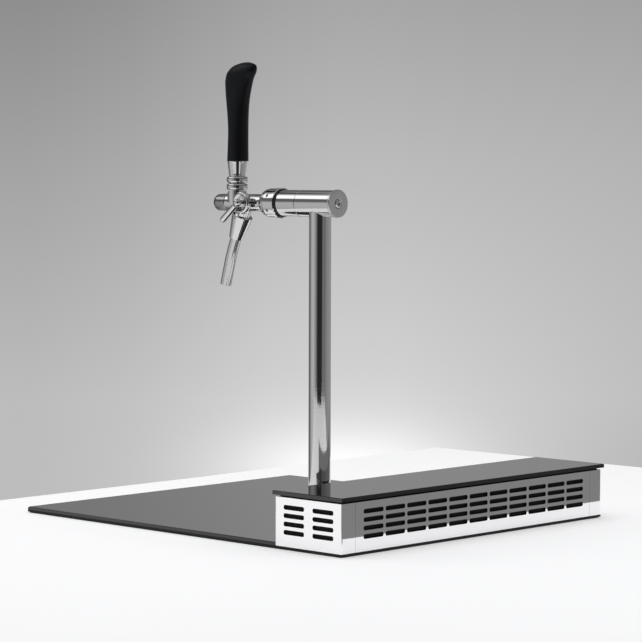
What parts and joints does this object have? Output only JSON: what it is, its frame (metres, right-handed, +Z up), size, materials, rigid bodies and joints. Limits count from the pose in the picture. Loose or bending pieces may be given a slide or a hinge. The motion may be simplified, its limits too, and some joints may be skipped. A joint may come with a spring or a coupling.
{
  "type": "countertop beer tap module",
  "caption": "Black glass plate with a slotted stainless vent box along one side and a polished column with a cross head, a lever tap with flow control and a slim spout.",
  "frame": {"origin": "on the worktop, under the middle of the whole footprint, lid overhang included", "axes": "+X from the tap to the vent box, +Y to the back along the vent box, +Z up"},
  "size_m": [0.583, 0.511, 0.5989],
  "materials": {
    "black_glass": "polished, opaque black",
    "black_steel": "satin black",
    "polished_steel": "mirror polished stainless steel",
    "turned_steel": "fine turned",
    "chrome_plate": "bright plated",
    "zinc": "zinc plated",
    "black_plastic": "moulded",
    "grip_plastic": "satin black, moulded",
    "black_rubber": "matt",
    "hose_plastic": "food grade tube"
  },
  "bodies": {
    "base": {"worktop_seal": "black_rubber", "base_plate": "black_steel", "glass_plate": "black_glass", "lid_carrier": "black_steel", "lid_glass": "black_glass", "front_end_panel": "polished_steel", "rear_end_panel": "polished_steel", "long_grille": "polished_steel", "inner_wall": "polished_steel", "panel_screws": "zinc", "lid_standoffs": "zinc", "standoff_screws": "zinc", "weld_nuts": "zinc", "fan_frames": "black_plastic", "fan_screws": "zinc", "column_spigot": "turned_steel", "foot_seal": "black_rubber", "column_tube": "polished_steel", "grub_screws": "zinc", "head_body": "polished_steel", "end_cap": "turned_steel", "cap_screw": "turned_steel", "shank_sleeve": "polished_steel", "nut_seal": "black_rubber", "tap_shank": "turned_steel", "tap_washer": "black_rubber", "beer_line": "hose_plastic", "coupling_nut": "chrome_plate", "tap_body": "chrome_plate", "front_cap": "chrome_plate", "spout_sleeve": "chrome_plate", "spout_tube": "chrome_plate", "ball_retainer": "turned_steel"},
    "handle": {"ball_lever": "turned_steel", "lower_collar": "chrome_plate", "upper_collar": "chrome_plate", "ferrule": "chrome_plate", "grip": "grip_plastic"},
    "valve": {"valve_piston": "turned_steel", "valve_seal": "black_rubber"},
    "compensator_dial": {"compensator_hub": "chrome_plate", "lever_knob": "chrome_plate", "compensator_lever": "chrome_plate"},
    "compensator_cone": {"compensator_cone": "turned_steel"},
    "fan_rotor_front": {"fan_rotor_front": "black_plastic"},
    "fan_rotor_rear": {"fan_rotor_rear": "black_plastic"}
  },
  "joints": [
    {"name": "handle_tilt", "type": "hinge", "parent": "base", "child": "handle", "pos_m": [0.0065, -0.15, 0.4273], "axis": [0, -1, 0], "range_deg": [0, 16]},
    {"name": "valve_slide", "type": "slide", "parent": "base", "child": "valve", "axis": [1, 0, 0], "range_m": [0, 0.0021]},
    {"name": "compensator_turn", "type": "hinge", "parent": "base", "child": "compensator_dial", "pos_m": [0.0319, -0.15, 0.4198], "axis": [0, 1, 0], "range_deg": [-40, 40]},
    {"name": "cone_slide", "type": "slide", "parent": "base", "child": "compensator_cone", "axis": [1, 0, 0], "range_m": [-0.0014, 0.0014]},
    {"name": "front_fan_spin", "type": "hinge", "parent": "base", "child": "fan_rotor_front", "pos_m": [0.2335, -0.105, 0.01], "axis": [0, 0, 1], "continuous": true},
    {"name": "rear_fan_spin", "type": "hinge", "parent": "base", "child": "fan_rotor_rear", "pos_m": [0.2335, 0.105, 0.01], "axis": [0, 0, 1], "continuous": true}
  ],
  "couplings": [
    {"joint": "valve_slide", "follows": "handle_tilt", "m_per_rad": 0.0075},
    {"joint": "cone_slide", "follows": "compensator_turn", "m_per_rad": 0.002}
  ]
}
